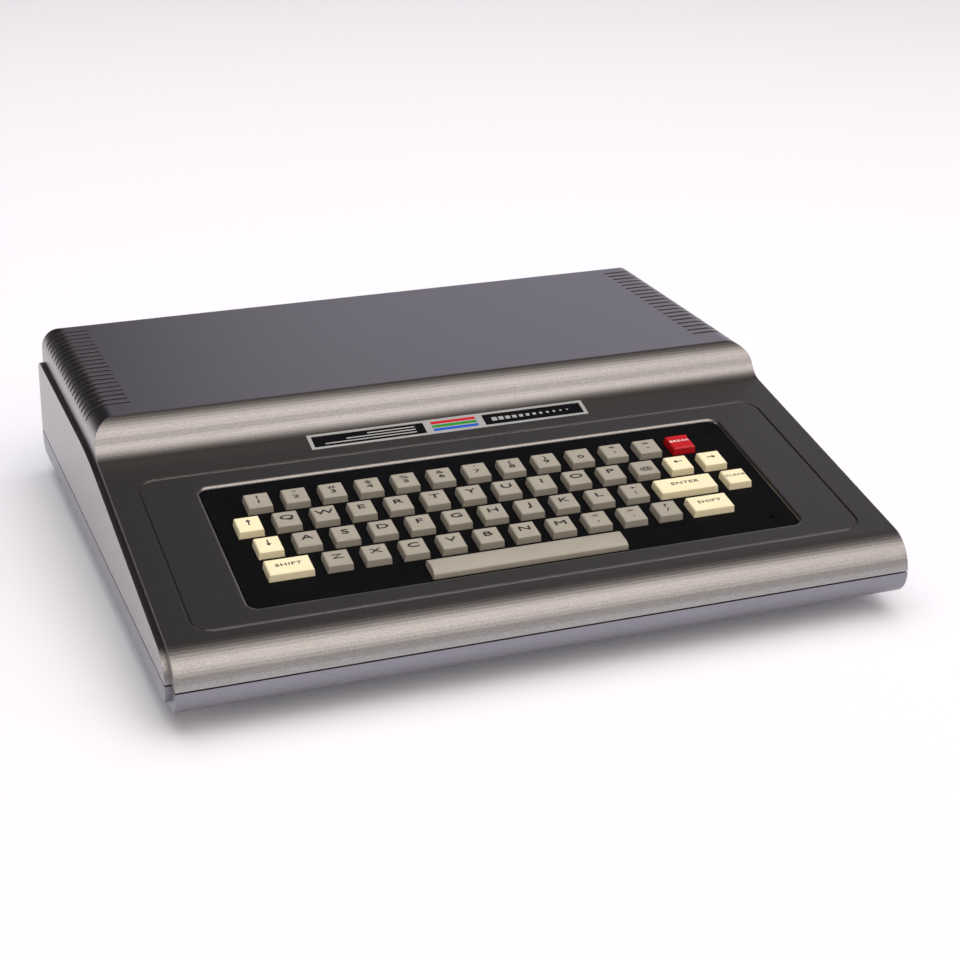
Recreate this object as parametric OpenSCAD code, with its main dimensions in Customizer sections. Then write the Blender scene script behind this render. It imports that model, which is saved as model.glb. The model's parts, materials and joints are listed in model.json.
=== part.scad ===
// Home computer with a built-in keyboard. Origin: centre of the footprint on the table.
// X runs to the right, Y to the rear, Z up. All sizes are in millimetres.

/* [Case] */
// Width over the side cheeks
case_w = 376; // [372:1:392]
// Depth from the front nose to the heel of the rear wall
case_d = 347; // [344:1:360]
// Height of the rear housing over the table
case_h = 89; // [87:0.5:95]
// Wall thickness of both shells
wall = 2.8; // [2.4:0.1:3.2]
// Height of the flat underside over the table
base_z = 10; // [8:0.5:11]
// Height of the lower shell's rim over the table
seam_z = 24.6; // [23:0.2:25.4]
// Open line between the two shells
seam_gap = 0.8; // [0.4:0.1:1.2]
// Radius of the rounded front edge
nose_r = 18; // [14:1:20]
// Radius of the curve under the front edge
chin_r = 14; // [11:0.5:14]
// Radius of the rear housing's side shoulders
shoulder_r = 12; // [8:0.5:14]
// Radius of the curve under the rear wall
heel_r = 8; // [5:0.5:11]
// Radius of the housing's rear top edge
rear_top_r = 4; // [2:0.5:6]
// Forward lean of the rear wall in degrees
rear_lean = 6; // [3:0.5:8]

/* [Rear housing front] */
// Distance of the crest line behind the footprint's centre
crest_y = 11.6; // [8:0.2:16]
// Slope of the face just under the crest line in degrees
crest_slope = 22; // [15:1:30]
// Steepest slope of the face in degrees
brow_slope = 68; // [60:1:75]
// Radius of the rounded upper part of the face
brow_r = 18; // [16:0.5:20]

/* [Side cheeks] */
// How far a cheek stands out from the body
cheek_proud = 2.8; // [2:0.1:4]
// Set-back of the cheek's nose behind the front edge
cheek_set = 9; // [6:0.5:12]
// Drop of the cheek's top edge below the deck
cheek_drop = 4.5; // [3:0.5:7]
// Height of the level part of the cheek's top edge
cheek_top = 70; // [66:0.5:74]
// Radius of the cheek's nose
cheek_nose_r = 15; // [11:0.5:16]
// Radius of the curve under the cheek's nose
cheek_chin_r = 9; // [6:0.5:10]
// Height of the cheek's lower edge over the underside
cheek_lift = 3.5; // [2:0.5:5]
// Radius of the bend from the sloping to the level top edge
cheek_bend_r = 250; // [150:10:300]

/* [Shoulder vents] */
// Slots in each shoulder
vent_count = 20; // [14:1:20]
// Spacing of the slots
vent_pitch = 6.57; // [6:0.1:6.9]
// Width of a slot
vent_w = 2.2; // [1.6:0.1:2.6]
// Distance of the front slot behind the crest line
vent_start = 17.6; // [15:0.2:22]
// Length of a slot along the top, from the body's side
vent_reach = 24.2; // [20:0.2:30]
// Depth of a slot's lower end below the top
vent_drop = 7.5; // [6:0.1:9]

/* [Keyboard] */
// Slope of the keyboard deck in degrees
deck_tilt = 10.6; // [9.6:0.1:11]
// Distance of the top key row behind the front edge
row_set = 112.5; // [110:0.5:115]
// Height of the key panel at the top key row
deck_z = 59.7; // [58.5:0.1:60.5]
// Rise of the deck surface over the key panel
deck_rise = 1.2; // [0.8:0.1:1.6]
// Spacing of the keys
key_pitch = 19.05; // [18:0.05:19.3]
// Width of a key at its foot
key_w = 12.7; // [11:0.1:13.6]
// Height of a key over the panel
key_rise = 3.9; // [3:0.1:5]
// Inward lean of a key's side over its height
key_taper = 0.3; // [0:0.05:0.6]
// Bevel round a key's top
key_bevel = 0.5; // [0.3:0.05:0.8]
// Travel of a key
key_travel = 2.2; // [1.6:0.1:2.6]
// Gap between a key and its hole in the panel
key_gap = 0.35; // [0.25:0.05:0.6]
// Length of the space bar
space_w = 100.3; // [90:0.1:106]
// Crown of the space bar's top
space_crown = 1.1; // [0.6:0.1:1.6]
// Panel border beside the outer keys
panel_side = 9.4; // [8:0.1:10]
// Panel border behind the top row
panel_back = 14.55; // [12:0.05:15]
// Panel border in front of the space bar
panel_front = 1.8; // [1.6:0.1:3]
// Thickness of the key panel
panel_t = 1.6; // [1.2:0.1:2]
// Corner radius of the keyboard opening
opening_r = 5; // [4:0.5:7]
// Rounding of the opening's rolled lip
lip_r = 2; // [1.2:0.1:2.2]
// Width of the groove that frames the deck
groove_w = 1.4; // [1:0.1:2]
// Depth of the groove
groove_d = 0.8; // [0.5:0.1:1.1]
// Distance of the groove from the keyboard opening at the sides
groove_side = 29.4; // [27:0.2:31]
// Distance of the groove from the keyboard opening at the rear
groove_back = 13.8; // [12:0.2:15]
// Distance of the groove from the keyboard opening at the front
groove_front = 12.6; // [11:0.2:14.4]
// Corner radius of the groove
groove_r = 11; // [8:0.5:14]

/* [Badge] */
// Length of the name plate
badge_w = 154.4; // [140:0.2:165]
// Height of the name plate
badge_h = 12.4; // [10:0.2:13.5]
// Thickness of the name plate
badge_t = 1.2; // [0.8:0.1:1.4]
// Slope of the name plate in degrees
badge_slope = 16; // [14:0.5:18]
// Distance of the plate's lower edge from the top key row along the deck
badge_y = 42.6; // [41:0.2:44]

/* [Cartridge opening] */
// Distance of the opening's front end behind the footprint's centre
slot_y = 12; // [10:0.5:14]
// Length of the opening
slot_w = 126; // [118:0.5:128]
// Height of the opening
slot_h = 24.5; // [22:0.5:25]
// Height of the opening's sill over the table
slot_z = 28; // [27.8:0.2:29]
// Thickness of the door
door_t = 2; // [1.6:0.1:2.2]
// Radius of the door's hinge pin
door_pin_r = 1; // [0.8:0.1:1.2]

/* [Rear connectors] */
// Height of the sockets' centres over the main board
socket_rise = 14; // [13.6:0.2:15]
// Outer radius of a round socket
socket_r = 7.6; // [7.4:0.1:8]
// Radius of the television socket
tv_r = 4.2; // [3.8:0.1:4.4]
// Side of the power button
power_w = 9.4; // [8:0.1:10]
// Radius of the reset button
reset_r = 4; // [3:0.1:4.5]
// Travel of the rear buttons
button_travel = 3; // [2:0.1:3.4]
// Travel of the channel switch
switch_travel = 4; // [3:0.1:4.4]
// Radius of the mains cord's hole in its bushing
cord_r = 3.2; // [2.6:0.1:3.3]

/* [Feet and screws] */
// Radius of a rubber foot
foot_r = 10; // [8:0.5:12]
// Height of a rubber foot
foot_h = 5; // [4:0.5:6]
// Radius of the shell screws' shafts
screw_r = 1.5; // [1.3:0.1:1.7]
// Radius of the shell screws' heads
screw_head_r = 3.4; // [3:0.1:3.6]

/* [Circuit boards] */
// Height of the main board's underside over the table
board_z = 20; // [19:0.2:20.6]
// Thickness of a circuit board
board_t = 1.6; // [1.2:0.1:2]
// Distance of the main board's left edge from the left wall
board_inset = 82.4; // [80:0.2:85]
// Height of the shield can over the main board
can_h = 24; // [18:0.5:26]
// Fins of the heat sink
fin_count = 8; // [5:1:9]

/* [Hidden] */
LETTER_ROWS = ["QWERTYUIOP", "ASDFGHJKL", "ZXCVBNM"];
LETTERS = [for (row = LETTER_ROWS) for (c = row) c];
function key_name(c) = str("key_", chr(ord(c) + 32));

// Gap between pieces that move past each other, and between seated pieces
gap = 0.3;
// Gap of the hinge pin in its bores
pin_gap = 0.05;
// Overlap that lets a cut pass a face
cut = 1;
// Degrees between the points of a rounded outline
arc_step = 6;

case_grey = "#6f6a69";
lower_grey = "#7d7a86";
panel_black = "#17161a";
key_grey = "#a39c92";
key_cream = "#efe3bd";
key_red = "#b3141c";

body_w = case_w - 2 * cheek_proud;
side_x = body_w / 2;
inner_x = side_x - wall;
front_y = -case_d / 2;
rear_y = case_d / 2;
upper_z = seam_z + seam_gap;
// Distance of the top key row in front of the footprint's centre
deck_y = case_d / 2 - row_set;
// Left edge of the main board, which the electronics line up with
board_x = board_inset - inner_x;

// ---- outlines -------------------------------------------------------------

// Unit vector at an angle in the side view
function dir(a) = [cos(a), sin(a)];
// Points of an arc from angle a to angle b, in either direction
function arc(c, r, a, b) =
  let (n = max(1, ceil(abs(b - a) / arc_step)))
  [for (i = [0 : n]) c + r * dir(a + (b - a) * i / n)];
// Height over the panel plane's line of the deck, as a distance from the side view's origin
deck_n = dir(90 + deck_tilt);
deck_c = deck_n * [-deck_y, deck_z] + deck_rise;
// Centre height of a circle of radius r under the deck line lowered by drop, at depth y
function under_deck(y, r, drop) = (deck_c - drop - r - deck_n[0] * y) / deck_n[1];

// Circle centres of the body's side outline
chin_c = [front_y + chin_r, base_z + chin_r];
nose_c = [front_y + nose_r, under_deck(front_y + nose_r, nose_r, 0)];
brow_c = [crest_y, case_h] - brow_r * dir(90 + crest_slope);
brow_end = brow_c + brow_r * dir(90 + brow_slope);
foot_curve_r = (deck_n * brow_end - deck_c) / (1 - cos(brow_slope - deck_tilt));
foot_c = brow_end + foot_curve_r * dir(90 + brow_slope);
heel_c = [rear_y - heel_r, base_z + heel_r];
rear_n = dir(rear_lean);
rear_c = rear_n * heel_c + heel_r;
rear_top_z = case_h - rear_top_r;
rear_top_c = [(rear_c - rear_top_r - rear_n[1] * rear_top_z) / rear_n[0], rear_top_z];
// Depth of the rear wall's outer face at a height
function rear_at(z) = (rear_c - rear_n[1] * z) / rear_n[0];

// The body's side outline (depth, height), moved inwards by t
function body_side(t) = concat(
  arc(chin_c, chin_r - t, 270, 180),
  arc(nose_c, nose_r - t, 180, 90 + deck_tilt),
  arc(foot_c, foot_curve_r + t, 270 + deck_tilt, 270 + brow_slope),
  arc(brow_c, brow_r - t, 90 + brow_slope, 90 + crest_slope),
  arc(rear_top_c, max(0.5, rear_top_r - t), 90, rear_lean),
  arc(heel_c, heel_r - t, rear_lean, -90));

// Circle centres of the cheek's side outline
cheek_y = front_y + cheek_set;
cheek_chin_c = [cheek_y + cheek_chin_r, base_z + cheek_lift + cheek_chin_r];
cheek_nose_c = [cheek_y + cheek_nose_r,
  under_deck(cheek_y + cheek_nose_r, cheek_nose_r, cheek_drop)];
cheek_bend_z = cheek_top - cheek_bend_r;
cheek_bend_c = [(deck_c - cheek_drop - cheek_bend_r - deck_n[1] * cheek_bend_z) / deck_n[0],
  cheek_bend_z];
cheek_heel_c = [heel_c[0], heel_c[1] + cheek_lift];
cheek_corner_z = cheek_top - heel_r;
cheek_side = concat(
  arc(cheek_chin_c, cheek_chin_r, 270, 180),
  arc(cheek_nose_c, cheek_nose_r, 180, 90 + deck_tilt),
  [for (i = [0 : 4]) cheek_bend_c + cheek_bend_r * dir(90 + deck_tilt * (1 - i / 4))],
  arc([rear_at(cheek_corner_z) - heel_r, cheek_corner_z], heel_r, 90, rear_lean),
  arc(cheek_heel_c, heel_r, rear_lean, -90));

// Corner points of a rounded rectangle centred on the origin
function rounded(w, h, r) = concat(
  arc([w / 2 - r, h / 2 - r], r, 0, 90), arc([r - w / 2, h / 2 - r], r, 90, 180),
  arc([r - w / 2, r - h / 2], r, 180, 270), arc([w / 2 - r, r - h / 2], r, 270, 360));

// An outline in the side view, drawn out to the width w about the middle
module across(w) {
  rotate([90, 0, 90])
    translate([0, 0, -w / 2])
      linear_extrude(w)
        children();
}
// A box given by its low and high corners
module box(low, high) {
  translate(low)
    cube(high - low);
}
// Copies at both sides
module both_sides() {
  children();
  mirror([1, 0, 0])
    children();
}
// Children in the keyboard's own frame: X right, Y up the deck, Z out of the panel
module on_deck(x = 0, y = 0) {
  translate([0, -deck_y, deck_z])
    rotate([deck_tilt, 0, 0])
      translate([x, y, 0])
        children();
}
// A cylinder along Y from depth a to depth b
module rod_y(x, z, r, a, b) {
  translate([x, b, z])
    rotate([90, 0, 0])
      cylinder(h = b - a, r = r, $fn = 48);
}

// ---- keyboard layout ------------------------------------------------------

// Middle column of the keyboard, counted in keys from the first digit key
middle_column = 6.15;
// Column of each row's first letter key
letter_column = [0.5, 0.75, 1.25];
// Row of the space bar, a little closer than a full row
space_row = 3.91;
// Columns of the keys at the ends of the layout
first_column = -0.5;
last_column = 12.75;
two_keys_w = key_w + key_pitch;
shift_w = key_w + key_pitch / 2;

function column_x(c) = (c - middle_column) * key_pitch;
function row_y(r) = -r * key_pitch;
// Row and place of a letter key
function letter_row(c) = [for (r = [0 : 2]) if (len(search(c, LETTER_ROWS[r])) > 0) r][0];
function letter_place(c) =
  let (r = letter_row(c))
  [letter_column[r] + search(c, LETTER_ROWS[r])[0], r + 1, key_w];

// Column, row and width of every key
DIGITS = [for (i = [0 : 9]) [i, 0, key_w]];
SIGNS = [[10, 0, key_w], [11, 0, key_w], [10.5, 1, key_w], [9.75, 2, key_w],
         [8.25, 3, key_w], [9.25, 3, key_w], [10.25, 3, key_w]];
BREAK = [12, 0, key_w];
UP = [first_column, 1, key_w];
LEFT = [11.5, 1, key_w];
RIGHT = [12.5, 1, key_w];
DOWN = [-0.25, 2, key_w];
ENTER = [11.25, 2, two_keys_w];
CLEAR = [last_column, 2, key_w];
SHIFT_LEFT = [0, 3, shift_w];
SHIFT_RIGHT = [11.5, 3, shift_w];
SPACE = [6, space_row, space_w];
ALL_KEYS = concat(DIGITS, SIGNS, [for (c = LETTERS) letter_place(c)],
  [BREAK, UP, LEFT, RIGHT, DOWN, ENTER, CLEAR, SHIFT_LEFT, SHIFT_RIGHT, SPACE]);

module at_key(k) {
  on_deck(column_x(k[0]), row_y(k[1]))
    children();
}

// Heights in the keyboard's frame, from the panel down
flange_t = 1.2;
flange_out = 0.7;
flange_z = -panel_t - gap;
web_t = 2.5;
web_z = flange_z - flange_t - key_travel - gap;
stem_w = 4;
contact_z = web_z - web_t - 0.5 - key_travel - gap;
stem_z = web_z - web_t - 0.5;
// Sizes of the keyboard opening and its centre
opening_w = (last_column - first_column) * key_pitch + key_w + 2 * panel_side;
opening_h = space_row * key_pitch + key_w + panel_back + panel_front;
opening_x = ((last_column + first_column) / 2 - middle_column) * key_pitch;
opening_y = (panel_back - panel_front - space_row * key_pitch) / 2;
// How far the guide frame's rim reaches in under the panel and out under the deck
rim_in = 2.6;
rim_out = 5;
rim_front = panel_front - flange_out - gap;
// Stems of a key: one, or three on the space bar
function stems(k) = k[2] > 3 * key_w ? [-0.35 * k[2], 0, 0.35 * k[2]] : [0];

// ---- upper shell ----------------------------------------------------------

// The body without cheeks, every face moved inwards by t
module body_solid(t) {
  intersection() {
    across(body_w - 2 * t)
      polygon(body_side(t));
    translate([0, rear_y + cut, 0])
      rotate([90, 0, 0])
        linear_extrude(case_d + 2 * cut)
          polygon(concat([[t - side_x, 0], [side_x - t, 0]],
            arc([side_x - shoulder_r, case_h - shoulder_r], shoulder_r - t, 0, 90),
            arc([shoulder_r - side_x, case_h - shoulder_r], shoulder_r - t, 90, 180)));
  }
}
module cheeks() {
  both_sides()
    translate([side_x - wall / 2, 0, 0])
      rotate([90, 0, 90])
        linear_extrude(cheek_proud + wall / 2)
          polygon(cheek_side);
}
// Everything of the case between two heights
module level(low, high) {
  box([-case_w, -case_d, low], [case_w, case_d, high]);
}

// The keyboard opening with its rounded-over edge, swept along its sides and corners
module lip_profile() {
  difference() {
    translate([-opening_r, -lip_r])
      square([opening_r + lip_r, lip_r + cut]);
    translate([lip_r, -lip_r])
      circle(r = lip_r, $fn = 48);
  }
  translate([-opening_r, -4 * wall])
    square([opening_r, 4 * wall - lip_r]);
}
module opening_cut() {
  corner_x = opening_w / 2 - opening_r;
  corner_y = opening_h / 2 - opening_r;
  box([-corner_x, -corner_y, -4 * wall], [corner_x, corner_y, cut]);
  for (s = [0 : 3]) {
    long = s % 2 == 0;
    reach = long ? opening_w / 2 : opening_h / 2;
    run = long ? 2 * corner_y : 2 * corner_x;
    rotate([0, 0, 90 * s]) {
      translate([reach, run / 2, 0])
        rotate([90, 0, 0])
          linear_extrude(run)
            lip_profile();
      translate([reach - opening_r, run / 2, 0])
        rotate_extrude(angle = 90, $fn = 48)
          translate([opening_r, 0])
            lip_profile();
    }
  }
}

groove_w_out = opening_w + 2 * groove_side;
groove_h_out = opening_h + groove_back + groove_front;
module deck_cuts() {
  on_deck(opening_x, opening_y) {
    translate([0, 0, deck_rise])
      opening_cut();
    translate([0, (groove_back - groove_front) / 2, deck_rise - groove_d])
      linear_extrude(wall)
        difference() {
          polygon(rounded(groove_w_out, groove_h_out, groove_r));
          polygon(rounded(groove_w_out - 2 * groove_w, groove_h_out - 2 * groove_w,
            groove_r - groove_w));
        }
  }
}
// The name plate's frame: origin at the middle of its lower edge, Z out of its face
module on_badge() {
  on_deck(0, badge_y)
    translate([0, 0, deck_rise])
      rotate([badge_slope - deck_tilt, 0, 0])
        children();
}
module badge_recess() {
  on_badge()
    box([-badge_w / 2 - gap, -gap, -badge_t], [badge_w / 2 + gap, badge_h + gap, 2 * wall]);
}

vent_y = crest_y + vent_start;
vent_z = case_h - vent_drop;
module vents() {
  both_sides()
    for (i = [0 : vent_count - 1])
      box([side_x - vent_reach, vent_y + i * vent_pitch - vent_w / 2, vent_z],
        [side_x + cut, vent_y + i * vent_pitch + vent_w / 2, case_h + cut]);
}

// Places of the case screws on the right side: [x, y]
post_r = 4.5;
post_x = side_x - 9.2;
posts = [[post_x, -deck_y - 79], [post_x, 0], [post_x, rear_y - 15.5]];
screw_top = seam_z + 11;
module upper_posts() {
  intersection() {
    both_sides()
      for (p = posts)
        translate([p[0], p[1], seam_z])
          cylinder(h = case_h, r = post_r, $fn = 32);
    body_solid(wall / 2);
  }
}
module post_bores() {
  both_sides()
    for (p = posts)
      translate([p[0], p[1], seam_z - cut])
        cylinder(h = screw_top + cut - seam_z, r = screw_r + pin_gap, $fn = 32);
}

// Cartridge door hinge, in the side view of the right wall
door_face = inner_x - 0.4;
hinge_x = door_face - door_t - 0.6;
hinge_z = slot_z + slot_h + 4.3;
barrel_r = 2.4;
ear_w = 4;
ear_inset = 2;
ear_r = 3;
module hinge_ears() {
  for (y = [slot_y + ear_inset, slot_y + slot_w - ear_inset - ear_w])
    difference() {
      union() {
        box([hinge_x, y, hinge_z - ear_r], [inner_x + wall / 2, y + ear_w, hinge_z + ear_r]);
        rod_y(hinge_x, hinge_z, ear_r, y, y + ear_w);
      }
      rod_y(hinge_x, hinge_z, door_pin_r + pin_gap, y - cut, y + ear_w + cut);
    }
}
module cartridge_hole() {
  box([inner_x - cut, slot_y, slot_z], [case_w / 2 + cut, slot_y + slot_w, slot_z + slot_h]);
}

// Rear connectors
socket_x = [for (x = [70, 100, 135, 170]) board_x + x];
tv_x = board_x + 5;
switch_x = board_x + 28;
power_x = board_x - 50;
reset_x = inner_x - 32.4;
cord_x = board_x - 22;
board_top = board_z + board_t;
socket_z = board_top + socket_rise;
button_z = socket_z + 4;
socket_face = rear_at(socket_z + socket_r) - wall / cos(rear_lean) - gap;
jack_end = rear_at(socket_z) + 0.8;
power_end = rear_y - 0.2;
switch_w = 3;
switch_h = 2.4;
module rear_holes() {
  for (x = socket_x)
    rod_y(x, socket_z, socket_r + gap, rear_y - 4 * wall, rear_y + cut);
  rod_y(tv_x, socket_z, tv_r + 4 * gap, rear_y - 4 * wall, rear_y + cut);
  box([switch_x - switch_w / 2 - 2 * gap, rear_y - 4 * wall, socket_z - switch_h / 2 - 2 * gap],
    [switch_x + switch_w / 2 + switch_travel + 2 * gap, rear_y + cut,
     socket_z + switch_h / 2 + 2 * gap]);
  box([power_x - power_w / 2 - gap, rear_y - 6 * wall, button_z - power_w / 2 - gap],
    [power_x + power_w / 2 + gap, rear_y + cut, button_z + power_w / 2 + gap]);
  rod_y(reset_x, button_z, reset_r + gap, rear_y - 6 * wall, rear_y + cut);
}

module upper_case() {
  color(case_grey) {
    difference() {
      union() {
        body_solid(0);
        cheeks();
      }
      body_solid(wall);
      level(-cut, upper_z);
      deck_cuts();
      badge_recess();
      vents();
      cartridge_hole();
      rear_holes();
    }
    difference() {
      upper_posts();
      post_bores();
    }
    hinge_ears();
  }
}

// ---- lower shell ----------------------------------------------------------

lip_t = 1.4;
lip_h = 1.6;
floor_z = base_z + wall;
counter_z = floor_z + 3.2;
foot_x = side_x - 35;
foot_y = rear_y - 43;
boss_r = foot_r + 2;
board_posts = [[board_x + 10, -40], [board_x + 212, -40], [board_x + 212, rear_y - 25.5],
  [board_x + 52, rear_y - 27.5], [board_x - 60, rear_y - 45.5], [board_x + 110, 100]];
board_post_r = 3.5;
board_screw_r = 1.2;
floor_vent_count = 11;
floor_vent_pitch = 6.4;
floor_vent_w = 2.6;
floor_vent_l = 60;
module lower_posts() {
  both_sides()
    for (p = posts)
      translate([p[0], p[1], base_z]) {
        cylinder(h = counter_z + 3 - base_z, r = post_r + 2, $fn = 32);
        cylinder(h = seam_z - base_z, r = post_r, $fn = 32);
      }
}
module lower_bores() {
  both_sides()
    for (p = posts)
      translate([p[0], p[1], 0]) {
        cylinder(h = counter_z, r = screw_head_r + gap, $fn = 32);
        cylinder(h = seam_z + cut, r = screw_r + gap, $fn = 32);
      }
}
module floor_vents() {
  both_sides()
    for (i = [0 : floor_vent_count - 1])
      box([28 + i * floor_vent_pitch, -30, 0],
        [28 + i * floor_vent_pitch + floor_vent_w, -30 + floor_vent_l, floor_z + cut]);
}
module lower_case() {
  color(lower_grey)
    difference() {
      union() {
        difference() {
          intersection() {
            union() {
              body_solid(0);
              cheeks();
            }
            level(-cut, seam_z);
          }
          body_solid(wall);
        }
        difference() {
          intersection() {
            body_solid(wall / 2);
            level(seam_z - 5, seam_z);
          }
          body_solid(wall + lip_t);
        }
        difference() {
          intersection() {
            body_solid(wall + gap);
            level(seam_z - cut, upper_z + lip_h);
          }
          body_solid(wall + lip_t);
        }
        intersection() {
          lower_posts();
          body_solid(wall / 2);
        }
        both_sides()
          for (y = [-foot_y, foot_y])
            translate([foot_x, y, foot_h])
              cylinder(h = floor_z - foot_h, r = boss_r, $fn = 48);
        for (p = board_posts)
          translate([p[0], p[1], base_z + cut])
            cylinder(h = board_z - base_z - cut, r = board_post_r, $fn = 32);
      }
      lower_bores();
      floor_vents();
      for (p = board_posts)
        translate([p[0], p[1], floor_z])
          cylinder(h = board_z, r = board_screw_r + pin_gap, $fn = 32);
      rod_y(cord_x, cord_z, bushing_r + pin_gap, rear_y - 5 * wall, rear_y + cut);
    }
}

module rubber_feet() {
  color("#1b1b1c")
    both_sides()
      for (y = [-foot_y, foot_y])
        translate([foot_x, y, 0])
          rotate_extrude($fn = 64)
            polygon([[0, 0], [foot_r - 1.2, 0], [foot_r - 0.4, 0.8], [foot_r, foot_h],
              [0, foot_h]]);
}

module pan_screw(r, head_r, head_h, shaft) {
  rotate_extrude($fn = 48)
    polygon([[0, shaft], [r, shaft], [r, 0], [head_r, 0], [head_r, -head_h * 0.6],
      [head_r * 0.7, -head_h], [0, -head_h]]);
}
module case_screws() {
  color("silver") {
    both_sides()
      for (p = posts)
        translate([p[0], p[1], counter_z])
          difference() {
            pan_screw(screw_r, screw_head_r, 2.4, screw_top - 1 - counter_z);
            for (a = [0, 90])
              rotate([0, 0, a])
                box([-2, -0.4, -3], [2, 0.4, -1.3]);
          }
    for (p = board_posts)
      translate([p[0], p[1], board_top])
        mirror([0, 0, 1])
          pan_screw(board_screw_r, 2.6, 1.8, 6);
  }
}

// ---- keyboard -------------------------------------------------------------

dimple_r = 1.6;
module key_surround() {
  color(panel_black)
    difference() {
      on_deck(opening_x, opening_y)
        translate([0, 0, -panel_t])
          linear_extrude(panel_t)
            polygon(rounded(opening_w - 2 * gap, opening_h - 2 * gap, opening_r - gap));
      for (k = ALL_KEYS)
        at_key(k)
          box([-k[2] / 2 - key_gap, -key_w / 2 - key_gap, -panel_t - cut],
            [k[2] / 2 + key_gap, key_w / 2 + key_gap, cut]);
      on_deck(opening_x + opening_w / 2 - 12, opening_y - opening_h / 2 + 9.6)
        translate([0, 0, -0.8])
          cylinder(h = 2, r = dimple_r, $fn = 32);
    }
}

// A key's outline across a side w wide, from its skirt to the bevel of its top
function cap_side(w) =
  let (low = w / 2, high = w / 2 - key_taper)
  [[-low, flange_z], [low, flange_z], [low, 0], [high, key_rise - key_bevel],
   [high - key_bevel, key_rise], [key_bevel - high, key_rise], [-high, key_rise - key_bevel],
   [-low, 0]];
// The same with a crowned top, for the space bar
crown_half = key_w / 2 - key_taper - key_bevel;
crown_r = (pow(crown_half, 2) + pow(space_crown, 2)) / (2 * space_crown);
crown_a = asin(crown_half / crown_r);
function crowned_side() = concat(
  [[-key_w / 2, flange_z], [key_w / 2, flange_z], [key_w / 2, 0],
   [key_w / 2 - key_taper, key_rise - space_crown - key_bevel]],
  [for (i = [0 : 8]) [0, key_rise - crown_r] + crown_r * dir(90 - crown_a + crown_a * i / 4)],
  [[key_taper - key_w / 2, key_rise - space_crown - key_bevel], [-key_w / 2, 0]]);

module key(k) {
  w = k[2];
  at_key(k) {
    intersection() {
      rotate([90, 0, 0])
        translate([0, 0, -key_w])
          linear_extrude(2 * key_w)
            polygon(cap_side(w));
      rotate([90, 0, 90])
        translate([0, 0, -w])
          linear_extrude(2 * w)
            polygon(w == space_w ? crowned_side() : cap_side(key_w));
    }
    box([-w / 2 - flange_out, -key_w / 2 - flange_out, flange_z - flange_t],
      [w / 2 + flange_out, key_w / 2 + flange_out, flange_z]);
    for (x = stems(k))
      box([x - stem_w / 2, -stem_w / 2, stem_z], [x + stem_w / 2, stem_w / 2, flange_z]);
  }
}
module keys(list, shade) {
  color(shade)
    for (k = list)
      key(k);
}

module key_guide_frame() {
  color("#3a3c40")
    difference() {
      on_deck(opening_x, opening_y)
        difference() {
          box([-opening_w / 2 - rim_out, -opening_h / 2 - rim_out, contact_z],
            [opening_w / 2 + rim_out, opening_h / 2 + rim_out, -panel_t]);
          box([rim_in - opening_w / 2, rim_front - opening_h / 2, web_z],
            [opening_w / 2 - rim_in, opening_h / 2 - rim_in, cut]);
          box([rim_in - opening_w / 2, rim_in - opening_h / 2, contact_z - cut],
            [opening_w / 2 - rim_in, opening_h / 2 - rim_in, web_z - web_t]);
        }
      for (k = ALL_KEYS)
        at_key(k)
          for (x = stems(k))
            box([x - stem_w / 2 - gap, -stem_w / 2 - gap, web_z - web_t - cut],
              [x + stem_w / 2 + gap, stem_w / 2 + gap, web_z + cut]);
    }
}

module key_contact_board() {
  color("#2f6b3c")
    on_deck(opening_x, opening_y)
      difference() {
        box([-opening_w / 2 - rim_out, -opening_h / 2 - rim_out, contact_z - board_t],
          [opening_w / 2 + rim_out, opening_h / 2 + rim_out, contact_z]);
        for (x = [-1, 1], y = [-1, 1])
          translate([x * (opening_w / 2 + 1), y * (opening_h / 2 + 1), contact_z - 2 * board_t])
            cylinder(h = 3 * board_t, r = 1.3, $fn = 24);
      }
}

// The ribbon leaves the contact board's rear part and drops to its plug on the main board
ribbon_w = 48;
ribbon_t = 0.5;
ribbon_r = 9;
ribbon_x = board_x + 16;
ribbon_plug_h = 9;
module keyboard_ribbon() {
  start = [-deck_y, deck_z] + dir(deck_tilt) * (opening_y + opening_h / 2 - 12)
    + (contact_z - board_t) * deck_n;
  turn = start - ribbon_r * deck_n;
  low = board_top + ribbon_plug_h;
  outer = concat([start - 14 * dir(deck_tilt)], arc(turn, ribbon_r, 90 + deck_tilt, 0),
    [[turn[0] + ribbon_r, low]]);
  inner = concat([[turn[0] + ribbon_r - ribbon_t, low]],
    arc(turn, ribbon_r - ribbon_t, 0, 90 + deck_tilt),
    [start - 14 * dir(deck_tilt) - ribbon_t * deck_n]);
  color("#8d8f94")
    translate([ribbon_x + ribbon_w / 2, 0, 0]) {
      across(ribbon_w)
        polygon(concat(outer, inner));
      box([-ribbon_w / 2 - 1, turn[0] + ribbon_r - 4, board_top],
        [ribbon_w / 2 + 1, turn[0] + ribbon_r + 2, low]);
    }
}

module name_badge() {
  color("#b9b9bd")
    on_badge()
      difference() {
        box([-badge_w / 2, 0, -badge_t], [badge_w / 2, badge_h, 0]);
        for (s = [-1, 1])
          box([s > 0 ? 19 : 2 - badge_w / 2, 1.6, -0.3], [s > 0 ? badge_w / 2 - 2 : -14,
            badge_h - 1.6, cut]);
      }
}

// ---- rear controls and connectors -------------------------------------------

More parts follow.
